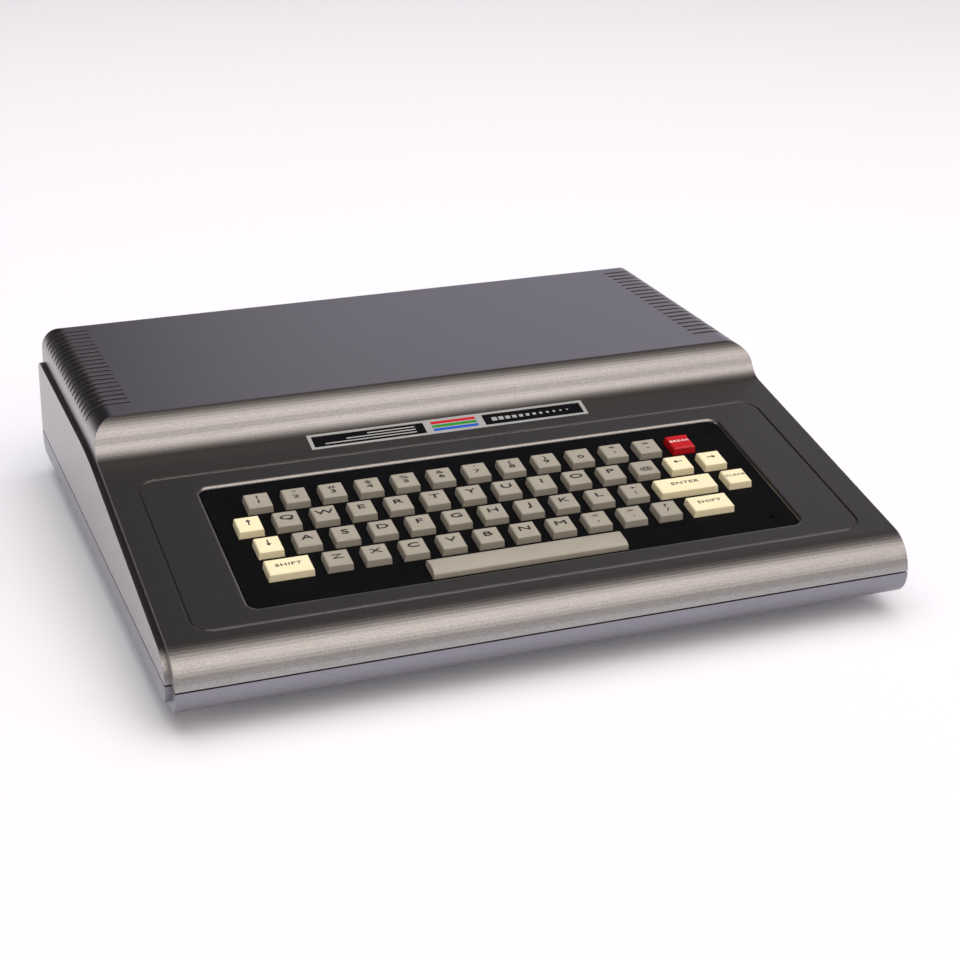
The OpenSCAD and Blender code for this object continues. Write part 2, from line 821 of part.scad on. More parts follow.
plunger_w = 4;
plunger_in = 9;
housing_y = rear_y - 20;
module power_button() {
  color("#222225") {
    box([power_x - power_w / 2, rear_y - 14, button_z - power_w / 2],
      [power_x + power_w / 2, power_end, button_z + power_w / 2]);
    box([power_x - plunger_w / 2, housing_y - plunger_in, button_z - plunger_w / 2],
      [power_x + plunger_w / 2, rear_y - 13, button_z + plunger_w / 2]);
  }
}
module reset_button() {
  color("#222225") {
    rod_y(reset_x, button_z, reset_r, rear_y - 14, power_end);
    box([reset_x - plunger_w / 2, housing_y - plunger_in, button_z - plunger_w / 2],
      [reset_x + plunger_w / 2, rear_y - 13, button_z + plunger_w / 2]);
  }
}
// The switch housing behind a rear button, open to the plunger
module switch_housing(x) {
  difference() {
    box([x - 7, housing_y - 14, board_top], [x + 7, housing_y, button_z + 6]);
    box([x - plunger_w / 2 - gap, housing_y - plunger_in - button_travel - gap,
         button_z - plunger_w / 2 - gap],
      [x + plunger_w / 2 + gap, housing_y + cut, button_z + plunger_w / 2 + gap]);
  }
}

socket_depth = 9;
module din_sockets() {
  color("#3b3b3f")
    for (x = socket_x)
      difference() {
        union() {
          box([x - 9, socket_face - 14, board_top], [x + 9, socket_face, socket_z + 8.5]);
          rod_y(x, socket_z, socket_r, socket_face - 1, jack_end);
        }
        rod_y(x, socket_z, socket_r - 1, jack_end - socket_depth, jack_end + cut);
        for (a = [-30 : 60 : 210])
          rod_y(x + 3.8 * cos(a), socket_z + 3.8 * sin(a), 0.8, jack_end - socket_depth - 4,
            jack_end - socket_depth + cut);
      }
}

modulator_low = [board_x - 10, socket_face - 48, board_top];
modulator_high = [board_x + 42, socket_face, socket_z + 10];
tv_end = rear_y - 0.3;
module rf_modulator() {
  color("#c9c9c6")
    difference() {
      union() {
        box(modulator_low, modulator_high);
        rod_y(tv_x, socket_z, tv_r, socket_face - 1, tv_end);
      }
      rod_y(tv_x, socket_z, tv_r - 0.8, tv_end - 7, tv_end + cut);
      box([switch_x - switch_w / 2 - gap, socket_face - 3, socket_z - switch_h / 2 - gap],
        [switch_x + switch_w / 2 + switch_travel + gap, socket_face + cut,
         socket_z + switch_h / 2 + gap]);
    }
  color("#d8c9a0")
    difference() {
      rod_y(tv_x, socket_z, tv_r - 0.8, tv_end - 7, tv_end - 1.5);
      rod_y(tv_x, socket_z, 1.7, tv_end - 8, tv_end);
    }
}
module channel_switch() {
  color("#e4e4e0")
    difference() {
      box([switch_x - switch_w / 2, socket_face - 3 + gap, socket_z - switch_h / 2],
        [switch_x + switch_w / 2, rear_y - 0.4, socket_z + switch_h / 2]);
      for (x = [-0.8, 0.8])
        box([switch_x + x - 0.2, rear_y - 1, socket_z - switch_h],
          [switch_x + x + 0.2, rear_y + cut, socket_z + switch_h]);
    }
}

// The cord bushing sits in the lower shell's rear wall and ends flush with it
bushing_r = 4.4;
cord_z = base_z + heel_r + 1.2;
module cord_bushing() {
  color("#1c1c1e")
    difference() {
      union() {
        rod_y(cord_x, cord_z, bushing_r, rear_y - 11, rear_y);
        rod_y(cord_x, cord_z, bushing_r + 1, rear_y - 13, rear_y - 10);
      }
      rod_y(cord_x, cord_z, cord_r, rear_y - 6 * wall, rear_y + cut);
    }
}

// ---- cartridge door ---------------------------------------------------------

door_low = slot_z - 1;
door_high = slot_z + slot_h + 0.6;
barrels = [[slot_y + 9, slot_y + 31], [slot_y + slot_w - 31, slot_y + slot_w - 9]];
module cartridge_door() {
  color("#5b585c")
    difference() {
      union() {
        box([door_face - door_t, slot_y - 1, door_low],
          [door_face, slot_y + slot_w + 1, door_high]);
        for (b = barrels) {
          box([door_face - door_t, b[0], door_high - 1], [door_face, b[1], hinge_z]);
          rod_y(hinge_x, hinge_z, barrel_r, b[0], b[1]);
        }
        for (y = [slot_y + 20, slot_y + slot_w - 20])
          box([door_face - door_t - 1.2, y - 0.8, door_low + 2],
            [door_face - door_t + 0.5, y + 0.8, door_high - 2]);
      }
      for (b = barrels)
        rod_y(hinge_x, hinge_z, door_pin_r + pin_gap, b[0] - cut, b[1] + cut);
    }
}
module door_hinge_pin() {
  color("silver")
    rod_y(hinge_x, hinge_z, door_pin_r, slot_y + ear_inset - 0.5,
      slot_y + slot_w - ear_inset + 0.5);
}

// ---- electronics ------------------------------------------------------------

board_low = [board_x, -58];
board_high = [board_x + 224, rear_y - 8];
can_low = [board_x + 66, -28];
can_size = [134, 116];
connector_x = board_x + 208;
chip_h = 4;
// Chips under the shield can, from its corner: centre and length
chips = [[30, 20, 52], [86, 20, 52], [30, 46, 52], [86, 46, 36], [22, 72, 36], [70, 72, 36],
         [108, 72, 24], [22, 96, 20], [46, 96, 20], [70, 96, 20], [94, 96, 20], [118, 96, 20]];
strip_low = [board_x - 67, rear_y - 58];
strip_high = rear_y - 17;
module chip(c, w) {
  box([c[0] - c[2] / 2, c[1] - w / 2, board_top], [c[0] + c[2] / 2, c[1] + w / 2,
    board_top + chip_h]);
}
module main_board() {
  color("#2f6b3c") {
    difference() {
      translate([0, 0, board_z])
        linear_extrude(board_t)
          polygon([board_low, [board_high[0], board_low[1]], board_high,
            [board_low[0], board_high[1]], [board_low[0], strip_high],
            [strip_low[0], strip_high], strip_low, [board_low[0], strip_low[1]]]);
      for (p = board_posts)
        translate([p[0], p[1], board_z - cut])
          cylinder(h = board_t + 2 * cut, r = board_screw_r + gap, $fn = 32);
    }
    box([reset_x - 11, board_high[1] - 26, board_z], [reset_x + 9, board_high[1], board_top]);
    box([board_high[0] - cut, board_high[1] - 26, board_z], [reset_x, board_high[1], board_top]);
  }
  color("#202024") {
    for (c = chips)
      chip([can_low[0] + c[0], can_low[1] + c[1], c[2]], c[2] > 30 ? 14 : 8);
    chip([board_x + 40, 110, 20], 8);
    chip([board_x + 130, 115, 20], 8);
    chip([board_x + 170, 115, 20], 8);
    switch_housing(power_x);
    switch_housing(reset_x);
  }
  color("#3d4a7d")
    for (p = [[50, 60, 9, 30], [50, 84, 6, 22], [16, 40, 5, 18], [16, 22, 5, 18]])
      translate([board_x + p[0], p[1], board_z + board_t / 2])
        cylinder(h = p[3], r = p[2], $fn = 48);
}

module shield_can() {
  color("#b7b9bb")
    difference() {
      box([can_low[0], can_low[1], board_top],
        [can_low[0] + can_size[0], can_low[1] + can_size[1], board_top + can_h]);
      box([can_low[0] + 0.8, can_low[1] + 0.8, board_top - cut],
        [can_low[0] + can_size[0] - 0.8, can_low[1] + can_size[1] - 0.8,
         board_top + can_h - 0.8]);
      for (i = [0 : 8], j = [0 : 5])
        translate([can_low[0] + 15 + i * 13, can_low[1] + 18 + j * 16, board_top + can_h - 2])
          cylinder(h = 4, r = 2.5, $fn = 6);
    }
}

// Laminated core with its two coils, standing on the lower shell's floor
core_low = [board_x - 68, 56, floor_z];
core_size = [56, 22, 48];
module power_transformer() {
  mid = core_low + core_size / 2;
  color("#8e8478")
    difference() {
      union() {
        box(core_low, core_low + core_size);
        box(core_low - [6, 0, 0], core_low + [core_size[0] + 6, core_size[1], 2]);
      }
      for (s = [-1, 1])
        translate([mid[0] + s * (core_size[0] / 2 + 3), mid[1], floor_z - cut])
          cylinder(h = 4, r = 2, $fn = 24);
    }
  color("#c9a24c")
    for (s = [-1, 1])
      translate([mid[0], mid[1] + s * (core_size[1] / 2 + 6), mid[2]])
        rotate([90, 0, 0])
          translate([0, 0, -6])
            linear_extrude(12)
              polygon(rounded(38, 34, 6));
}

module regulator_heat_sink() {
  base = [board_x + 2, 62, board_top];
  color("#a9adb0") {
    box(base, base + [26, 3, 30]);
    for (i = [0 : fin_count - 1])
      box(base + [i * 26 / fin_count, 2.5, 0], base + [i * 26 / fin_count + 1.4, 16, 30]);
  }
}

module cartridge_connector() {
  mid = slot_y + slot_w / 2;
  slot_mid = slot_z + slot_h / 2;
  color("#26262a")
    difference() {
      box([connector_x, mid - 32, board_top], [connector_x + 11, mid + 32, slot_mid + 6]);
      box([connector_x + 3, mid - 27, slot_mid - 1], [connector_x + 12, mid + 27, slot_mid + 1]);
    }
}

// ---- pieces -----------------------------------------------------------------

upper_case();
lower_case();
key_surround();
name_badge();
rubber_feet();
case_screws();
power_button();
reset_button();
cartridge_door();
door_hinge_pin();
channel_switch();
din_sockets();
rf_modulator();
cord_bushing();
main_board();
shield_can();
power_transformer();
cartridge_connector();
key_guide_frame();
key_contact_board();
keyboard_ribbon();
regulator_heat_sink();
keys(DIGITS, key_grey);  // number_keys
keys(SIGNS, key_grey);  // sign_keys
for (c = LETTERS)
  keys([letter_place(c)], key_grey);
keys([BREAK], key_red);  // key_break
keys([UP], key_cream);  // key_up
keys([DOWN], key_cream);  // key_down
keys([LEFT], key_cream);  // key_left
keys([RIGHT], key_cream);  // key_right
keys([SHIFT_LEFT], key_cream);  // key_shift_left
keys([SHIFT_RIGHT], key_cream);  // key_shift_right
keys([ENTER], key_cream);  // key_enter
keys([CLEAR], key_cream);  // key_clear
keys([SPACE], key_grey);  // key_space
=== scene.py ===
"""Studio view of a grey home computer with a built-in keyboard.

Lengths are in metres unless a name says otherwise.
"""

import json
import math

import bpy
from mathutils import Matrix, Vector


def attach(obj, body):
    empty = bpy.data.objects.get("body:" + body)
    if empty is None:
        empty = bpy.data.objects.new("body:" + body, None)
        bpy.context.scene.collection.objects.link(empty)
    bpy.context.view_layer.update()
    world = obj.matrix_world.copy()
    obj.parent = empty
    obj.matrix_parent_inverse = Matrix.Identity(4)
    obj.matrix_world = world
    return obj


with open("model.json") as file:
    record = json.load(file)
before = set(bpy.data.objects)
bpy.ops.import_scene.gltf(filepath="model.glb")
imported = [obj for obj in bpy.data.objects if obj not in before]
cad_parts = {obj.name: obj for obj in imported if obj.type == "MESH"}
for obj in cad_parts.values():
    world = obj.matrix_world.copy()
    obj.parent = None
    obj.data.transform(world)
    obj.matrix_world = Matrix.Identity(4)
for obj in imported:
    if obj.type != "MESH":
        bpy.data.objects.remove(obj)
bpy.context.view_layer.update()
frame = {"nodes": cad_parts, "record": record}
nodes = frame["nodes"]

MM = 0.001

# Sizes and places that the case's own source gives.
# The keyboard's origin lies in its panel, under the middle of the top key row
DECK_TILT = math.radians(10.6)
DECK_Y = -61 * MM
DECK_Z = 59.7 * MM
# Heights over the panel: the deck round it, and the tops of the keys
DECK_RISE = 1.2 * MM
KEY_RISE = 3.9 * MM
KEY_PITCH = 19.05 * MM
# Column of the keyboard's origin, counted from the first digit key
MIDDLE_COLUMN = 6.15
# The name plate: its slope, and the distance of its lower edge from the top key row
BADGE_SLOPE = math.radians(16)
BADGE_Y = 42.6 * MM
BADGE_W = 154.4 * MM
BADGE_H = 12.4 * MM

scene = bpy.context.scene
scene.view_settings.view_transform = "Standard"


# ---- camera, lights and floor --------------------------------------------------------

# The photograph was taken from the front left, a metre away and slightly above
CAMERA_PLACE = (-0.3345, -0.9685, 0.4585)
CAMERA_DOWN = math.radians(22.54)
CAMERA_TURN = math.radians(-20.20)
CAMERA_LENS_MM = 76.8
CAMERA_SENSOR_MM = 36
CAMERA_CLIP = (0.01, 100)


def add_camera():
    data = bpy.data.cameras.new("camera")
    data.lens = CAMERA_LENS_MM
    data.sensor_width = CAMERA_SENSOR_MM
    data.clip_start, data.clip_end = CAMERA_CLIP
    camera = bpy.data.objects.new("camera", data)
    camera.location = CAMERA_PLACE
    camera.rotation_euler = (math.pi / 2 - CAMERA_DOWN, 0, CAMERA_TURN)
    scene.collection.objects.link(camera)
    scene.camera = camera


def add_softbox(name, place, target, width, height, brightness, colour, mirrored=True):
    """An area light whose surface has the given brightness, aimed at the target.

    One that isn't mirrored lights the scene without showing as a shape in the paint.
    """
    data = bpy.data.lights.new(name, "AREA")
    data.shape = "RECTANGLE"
    data.size = width
    data.size_y = height
    data.energy = brightness * math.pi * width * height
    data.color = colour
    light = bpy.data.objects.new(name, data)
    light.location = place
    aim = Vector(target) - Vector(place)
    light.rotation_euler = aim.to_track_quat("-Z", "Y").to_euler()
    light.visible_glossy = mirrored
    scene.collection.objects.link(light)


def add_lights():
    """A broad soft light overhead, and a warm one from the front right."""
    target = (0, -0.05, 0.04)
    add_softbox("overhead", (0.1, 0.1, 2.2), target, width=3.2, height=3.2, brightness=1.55,
                colour=(0.98, 0.98, 1.0), mirrored=False)
    add_softbox("key_light", (0.85, -1.45, 2.1), target, width=1.9, height=1.1, brightness=0.45,
                colour=(1.0, 0.95, 0.88))


# Directions that the studio's brightness follows: away from the camera, and to its right
FAR = (-math.sin(CAMERA_TURN), math.cos(CAMERA_TURN), 0)
RIGHT = (math.cos(CAMERA_TURN), math.sin(CAMERA_TURN), 0)
# Colour of the light round the studio by the angle in degrees: 0 is the far wall's foot, 90 straight up
# and 180 the near wall's foot
STUDIO_ARCH = ((0, (0.60, 0.58, 0.70)), (21, (0.56, 0.54, 0.65)), (34, (0.15, 0.145, 0.16)),
               (48, (0.07, 0.068, 0.07)), (66, (0.07, 0.067, 0.066)), (84, (0.36, 0.33, 0.31)),
               (102, (1.22, 1.13, 1.05)), (120, (1.62, 1.50, 1.39)), (144, (1.55, 1.44, 1.35)),
               (160, (0.80, 0.75, 0.71)), (171, (0.34, 0.33, 0.34)), (180, (0.50, 0.49, 0.53)))
# Share of that light from the left side of the studio, -1, to the right side, 1
STUDIO_SIDES = ((-1.0, 1.0), (-0.88, 0.8), (-0.66, 0.07), (-0.3, 0.06),
                (-0.06, 0.85), (0.2, 1.0), (1.0, 0.9))


def add_world():
    """A studio room: a broad light over and behind the camera, a dark band beyond it, a pale far wall."""
    world = bpy.data.worlds.new("studio")
    scene.world = world
    world.use_nodes = True
    tree = world.node_tree
    background = tree.nodes["Background"]
    place = tree.nodes.new("ShaderNodeTexCoord").outputs["Generated"]

    def along(direction):
        node = tree.nodes.new("ShaderNodeVectorMath")
        node.operation = "DOT_PRODUCT"
        node.inputs[1].default_value = direction
        tree.links.new(place, node.inputs[0])
        return node.outputs["Value"]

    def spread(value, low, high, stops):
        """Colours along a value from low to high, blended softly between (position, colour) stops."""
        scale = tree.nodes.new("ShaderNodeMapRange")
        scale.inputs["From Min"].default_value = low
        scale.inputs["From Max"].default_value = high
        ramp = tree.nodes.new("ShaderNodeValToRGB")
        ramp.color_ramp.interpolation = "EASE"
        elements = ramp.color_ramp.elements
        for i, (position, colour) in enumerate(stops):
            at = (position - low) / (high - low)
            element = elements[i] if i < 2 else elements.new(at)
            element.position = at
            element.color = (*colour, 1)
        tree.links.new(value, scale.inputs["Value"])
        tree.links.new(scale.outputs[0], ramp.inputs[0])
        return ramp.outputs[0]

    angle = tree.nodes.new("ShaderNodeMath")
    angle.operation = "ARCTAN2"
    tree.links.new(along((0, 0, 1)), angle.inputs[0])
    tree.links.new(along(FAR), angle.inputs[1])
    arch = spread(angle.outputs[0], 0, math.pi, [(math.radians(a), c) for a, c in STUDIO_ARCH])
    sides = spread(along(RIGHT), -1, 1, [(x, (share, share, share)) for x, share in STUDIO_SIDES])
    product = tree.nodes.new("ShaderNodeMix")
    product.data_type = "RGBA"
    product.blend_type = "MULTIPLY"
    product.inputs["Factor"].default_value = 1
    tree.links.new(arch, product.inputs["A"])
    tree.links.new(sides, product.inputs["B"])
    tree.links.new(product.outputs["Result"], background.inputs["Color"])


FLOOR_REACH = 30.0
FLOOR_COLOUR = (0.89, 0.885, 0.93, 1)
FLOOR_GLOW = (0.96, 0.96, 1.0, 1)
FLOOR_GLOW_STRENGTH = 0.06


def add_floor():
    """White paper that reaches to the horizon, with a faint glow that keeps it white."""
    mesh = bpy.data.meshes.new("floor")
    corners = [(-FLOOR_REACH, -FLOOR_REACH, 0), (FLOOR_REACH, -FLOOR_REACH, 0),
               (FLOOR_REACH, FLOOR_REACH, 0), (-FLOOR_REACH, FLOOR_REACH, 0)]
    mesh.from_pydata(corners, [], [(0, 1, 2, 3)])
    floor = bpy.data.objects.new("floor", mesh)
    scene.collection.objects.link(floor)
    material = bpy.data.materials.new("paper_floor")
    material.use_nodes = True
    shader = material.node_tree.nodes["Principled BSDF"]
    shader.inputs["Base Color"].default_value = FLOOR_COLOUR
    shader.inputs["Roughness"].default_value = 0.9
    shader.inputs["Emission Color"].default_value = FLOOR_GLOW
    shader.inputs["Emission Strength"].default_value = FLOOR_GLOW_STRENGTH
    mesh.materials.append(material)


# ---- materials -----------------------------------------------------------------------

class Paint:
    """A material whose nodes are added one after another."""

    def __init__(self, name):
        self.material = bpy.data.materials.new(name)
        self.material.use_nodes = True
        self.tree = self.material.node_tree
        self.shader = self.tree.nodes["Principled BSDF"]
        self.place = self.tree.nodes.new("ShaderNodeTexCoord").outputs["Object"]

    def set(self, **values):
        """Sets the shader's own sockets, an underscore standing for each space in a socket's name."""
        for name, value in values.items():
            self.shader.inputs[name.replace("_", " ")].default_value = value
        return self

    def noise(self, size, detail=2.0, roughness=0.5, stretch=(1, 1, 1)):
        """Noise with features about size across, drawn out along an axis by stretch."""
        mapping = self.tree.nodes.new("ShaderNodeMapping")
        mapping.inputs["Scale"].default_value = [1 / s for s in stretch]
        node = self.tree.nodes.new("ShaderNodeTexNoise")
        node.inputs["Scale"].default_value = 1 / size
        node.inputs["Detail"].default_value = detail
        node.inputs["Roughness"].default_value = roughness
        self.tree.links.new(self.place, mapping.inputs["Vector"])
        self.tree.links.new(mapping.outputs[0], node.inputs["Vector"])
        return node.outputs["Fac"]

    def ramp(self, factor, *stops):
        """Colours along a factor, each stop a (position, colour) pair."""
        node = self.tree.nodes.new("ShaderNodeValToRGB")
        elements = node.color_ramp.elements
        elements[0].position, elements[0].color = stops[0][0], (*stops[0][1], 1)
        elements[1].position, elements[1].color = stops[-1][0], (*stops[-1][1], 1)
        for position, colour in stops[1:-1]:
            elements.new(position).color = (*colour, 1)
        self.tree.links.new(factor, node.inputs[0])
        return node.outputs[0]

    def levels(self, factor, low, high, out_low, out_high):
        """A factor whose range from low to high becomes the range from out_low to out_high."""
        node = self.tree.nodes.new("ShaderNodeMapRange")
        for i, value in enumerate((low, high, out_low, out_high), start=1):
            node.inputs[i].default_value = value
        self.tree.links.new(factor, node.inputs[0])
        return node.outputs[0]

    def mix(self, factor, first, second):
        """Two colours blended by a factor, the first one at 0."""
        node = self.tree.nodes.new("ShaderNodeMix")
        node.data_type = "RGBA"
        self.tree.links.new(factor, node.inputs["Factor"])
        self.tree.links.new(first, node.inputs["A"])
        self.tree.links.new(second, node.inputs["B"])
        return node.outputs["Result"]

    def colour(self, output):
        self.tree.links.new(output, self.shader.inputs["Base Color"])
        return self

    def roughness(self, output):
        self.tree.links.new(output, self.shader.inputs["Roughness"])
        return self

    def surface(self, edge=0.0, grain=None, depth=0.0):
        """Softens the edges by a small radius, and raises a grain on the surface."""
        normal = None
        if edge > 0:
            bevel = self.tree.nodes.new("ShaderNodeBevel")
            bevel.samples = 4
            bevel.inputs["Radius"].default_value = edge
            normal = bevel.outputs[0]
        if grain is not None:
            bump = self.tree.nodes.new("ShaderNodeBump")
            bump.inputs["Distance"].default_value = depth
            bump.inputs["Strength"].default_value = 1.0
            self.tree.links.new(grain, bump.inputs["Height"])
            if normal is not None:
                self.tree.links.new(normal, bump.inputs["Normal"])
            normal = bump.outputs[0]
        if normal is not None:
            self.tree.links.new(normal, self.shader.inputs["Normal"])
        return self


def metallic_paint(name, base, sparkle, edge):
    """Sprayed metallic paint: fine bright flakes in a grey coat, with a faint cloudiness."""
    p = Paint(name).set(Metallic=1.0)
    flakes = p.noise(0.42 * MM, detail=1.0)
    cloud = p.noise(60 * MM, detail=3.0)
    dark = tuple(c * (1 - sparkle) for c in base)
    light = tuple(c * (1 + sparkle) for c in base)
    fine = p.ramp(flakes, (0.36, dark), (0.5, base), (0.68, light))
    broad = p.ramp(cloud, (0.3, tuple(0.95 * c for c in base)), (0.7, tuple(1.05 * c for c in base)))
    p.colour(p.mix(p.levels(cloud, 0.2, 0.8, 0.1, 0.35), fine, broad))
    p.roughness(p.levels(flakes, 0.3, 0.7, 0.36, 0.30))
    p.surface(edge, p.noise(0.6 * MM, detail=2.0), 0.008 * MM)
    return p.material


def moulded_plastic(name, base, roughness=0.45, spread=0.06, edge=0.25 * MM, grain=0.006 * MM, gloss=0.5):
    """Plastic with a fine moulded grain of the given depth, its colour uneven by the share in spread."""
    p = Paint(name).set(Specular_IOR_Level=gloss)
    cloud = p.noise(9 * MM, detail=4.0)
    lower = tuple(c * (1 - spread) for c in base)
    upper = tuple(min(1.0, c * (1 + spread)) for c in base)
    p.colour(p.ramp(cloud, (0.3, lower), (0.7, upper)))
    p.roughness(p.levels(cloud, 0.3, 0.7, roughness - 0.05, roughness + 0.05))
    p.surface(edge, p.noise(0.35 * MM, detail=2.0), grain)
    return p.material


def plain_metal(name, base, roughness, stretch=(1, 1, 1), edge=0.15 * MM, metal=1.0):
    """Bare or printed metal with fine marks, drawn out along one axis where it is brushed."""
    p = Paint(name).set(Metallic=metal)
    marks = p.noise(0.5 * MM, detail=4.0, stretch=stretch)
    p.colour(p.ramp(marks, (0.3, tuple(c * 0.86 for c in base)), (0.7, base)))
    p.roughness(p.levels(marks, 0.3, 0.7, roughness + 0.08, roughness - 0.05))
    p.surface(edge, marks, 0.004 * MM)
    return p.material


def circuit_board(name):
    """Green solder mask with faint tracks, and black components from just over the main board's face."""
    parts_low = 21.7 * MM
    p = Paint(name).set(Roughness=0.35)
    wave = p.tree.nodes.new("ShaderNodeTexWave")
    wave.inputs["Scale"].default_value = 90
    wave.inputs["Distortion"].default_value = 6
    p.tree.links.new(p.place, wave.inputs["Vector"])
    tracks = p.ramp(wave.outputs["Fac"], (0.35, (0.012, 0.075, 0.025)), (0.6, (0.03, 0.16, 0.05)))
    split = p.tree.nodes.new("ShaderNodeSeparateXYZ")
    p.tree.links.new(p.place, split.inputs[0])
    parts = p.ramp(p.noise(2 * MM), (0.4, (0.012, 0.012, 0.014)), (0.7, (0.025, 0.025, 0.028)))
    above = p.levels(split.outputs["Z"], parts_low, parts_low + 0.05 * MM, 0, 1)
    p.colour(p.mix(above, tracks, parts))
    p.surface(0.1 * MM, wave.outputs["Fac"], 0.01 * MM)
    return p.material


def wound_core(name):
    """Varnished steel sheets, stacked from front to back."""
    p = Paint(name).set(Roughness=0.5)
    sheets = p.noise(0.6 * MM, detail=1.0, stretch=(60, 1, 60))
    p.colour(p.ramp(sheets, (0.35, (0.05, 0.042, 0.035)), (0.65, (0.16, 0.14, 0.12))))
    p.surface(0.2 * MM, sheets, 0.05 * MM)
    return p.material


def printed_ink(name, colour, roughness, spread, gloss=0.5):
    """Smooth ink, with no softened edge."""
    return moulded_plastic(name, colour, roughness, spread, edge=0, grain=0.001 * MM, gloss=gloss)


def key_plastic(name, colour, roughness, spread):
    return moulded_plastic(name, colour, roughness, spread, edge=0.16 * MM)


def make_materials():
    """The CAD nodes' materials, each under the name of its slot in the record."""
    paint_edge = 0.3 * MM
    return {
        "case_paint": metallic_paint("case_paint", (0.37, 0.352, 0.348), 0.24, paint_edge),
        # The lower shell has the same grey paint as the upper case. Its darker, bluer base is painted shade
        # plus a painted reflection of the floor on its downward-facing surfaces.
        "lower_paint": metallic_paint("lower_paint", (0.265, 0.26, 0.295), 0.12, paint_edge),
        "panel_black": moulded_plastic("panel_black", (0.003, 0.003, 0.0038), roughness=0.8, spread=0.3,
                                       edge=0, grain=0.02 * MM, gloss=0.12),
        "key_grey": key_plastic("key_grey", (0.375, 0.34, 0.28), 0.42, 0.03),
        "key_cream": key_plastic("key_cream", (0.93, 0.83, 0.55), 0.42, 0.02),
        "key_red": key_plastic("key_red", (0.52, 0.006, 0.012), 0.34, 0.05),
        "badge_metal": plain_metal("badge_metal", (0.50, 0.495, 0.485), 0.34, (30, 1, 1), edge=0.2 * MM,
                                   metal=0.25),
        "foot_rubber": moulded_plastic("foot_rubber", (0.018, 0.018, 0.018), 0.8, 0.2),
        "black_plastic": moulded_plastic("black_plastic", (0.016, 0.016, 0.018), 0.45, 0.1),
        "light_plastic": moulded_plastic("light_plastic", (0.70, 0.70, 0.66), 0.4),
        "door_plastic": moulded_plastic("door_plastic", (0.075, 0.07, 0.075), 0.5, 0.08),
        "steel": plain_metal("steel", (0.60, 0.60, 0.60), 0.32),
        "tin_can": plain_metal("tin_can", (0.66, 0.67, 0.68), 0.38, (1, 12, 1)),
        "fin_metal": plain_metal("fin_metal", (0.62, 0.63, 0.65), 0.42, (1, 1, 20)),
        "board_green": circuit_board("board_green"),
        "frame_plastic": moulded_plastic("frame_plastic", (0.03, 0.03, 0.034), 0.55),
        "ribbon_film": moulded_plastic("ribbon_film", (0.42, 0.43, 0.45), 0.4),
        "core_steel": wound_core("core_steel"),
    }


def dress_nodes(materials):
    """Gives each CAD node the material of its slot."""
    for part in frame["record"]["subparts"]:
        mesh = nodes[part["node"]].data
        mesh.materials.clear()
        mesh.materials.append(materials[part["material_slot"]])


# ---- pieces made from outlines -------------------------------------------------------

def on_deck(x, y, z):
    """Moves the origin to a point of the keyboard: x to the right, y up the deck, z out of its panel."""
    return (Matrix.Translation((0, DECK_Y, DECK_Z)) @ Matrix.Rotation(DECK_TILT, 4, "X")
            @ Matrix.Translation((x, y, z)))


def on_badge(x, y, z):
    """Moves the origin to a point of the name plate: x from its middle, y up from its lower edge, z out."""
    return (on_deck(0, BADGE_Y, DECK_RISE) @ Matrix.Rotation(BADGE_SLOPE - DECK_TILT, 4, "X")
            @ Matrix.Translation((x, y, z)))


def join_outlines(name, parts, material, body):
    """One mesh from (matrix, points, faces) parts, which rides on a body."""
    points = []
    faces = []
    for matrix, own_points, own_faces in parts:
        first = len(points)
        points += [matrix @ Vector(p) for p in own_points]
        faces += [tuple(first + i for i in face) for face in own_faces]
    mesh = bpy.data.meshes.new(name)
    mesh.from_pydata(points, [], faces)
    mesh.materials.append(material)
    piece = bpy.data.objects.new(name, mesh)
    scene.collection.objects.link(piece)
    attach(piece, body)


def slab(outline, thickness):
    """A flat plate with the outline's shape, its back on z = 0."""
    count = len(outline)
    points = [(x, y, 0) for x, y in outline] + [(x, y, thickness) for x, y in outline]
    back = tuple(reversed(range(count)))
    front = tuple(range(count, 2 * count))
    sides = [(i, (i + 1) % count, (i + 1) % count + count, i + count) for i in range(count)]
    return points, [back, front, *sides]


# ---- key legends ---------------------------------------------------------------------

# Height of the flat legends over the tops of the keys
INK_LIFT = 0.015 * MM
# Height of the capitals, how far the letters are drawn out sideways, and their place up from the key's middle
LETTER_H = 3.5 * MM
LETTER_STRETCH = 1.85
LETTER_UP = 1.0 * MM
WORD_STRETCH = 1.6
WORD_UP = 0.8 * MM
# The same for digit and sign keys, with the lower sign and the one that the shift key gives above it
DIGIT_H = 2.7 * MM
DIGIT_STRETCH = 1.95
DIGIT_UP = -1.2 * MM
SHIFTED_H = 2.5 * MM
SHIFTED_UP = 2.5 * MM
# Column of the first key in each row, the digits' row first
FIRST_COLUMNS = (0, 0.5, 0.75, 1.25)
LETTER_ROWS = ("QWERTYUIOP", "ASDFGHJKL", "ZXCVBNM")
SHIFTED_DIGITS = "!\"#$%&'() "
# Signs whose strokes lie close together, so they are made less bold
CROWDED_SIGNS = "@%&#$"
# Shares of the font's size: the height of its capitals, and how far an outline is pushed out to be bolder
CAPITAL = 0.71
BOLDER = 0.045
BOLDER_CROWDED = 0.026
# Share of that push that is kept sideways, where the letters are drawn out anyway
SIDE_PUSH = 0.35
# Spacing of the letters in a word, and straight steps in each curve of a letter
LETTER_SPACING = 1.08
CURVE_STEPS = 4
# The arrows: their whole length, the head's length and width, and the shaft's width
ARROW_LENGTH = 5.0 * MM
ARROW_HEAD = 1.9 * MM
ARROW_HEAD_W = 3.0 * MM
ARROW_SHAFT_W = 0.7 * MM
# Sign keys: lower sign, upper sign, column, row
SIGN_KEYS = ((":", "*", 10, 0), ("-", "=", 11, 0), ("@", "", 10.5, 1), (";", "+", 9.75, 2),
             (",", "<", 8.25, 3), (".", ">", 9.25, 3), ("/", "?", 10.25, 3))
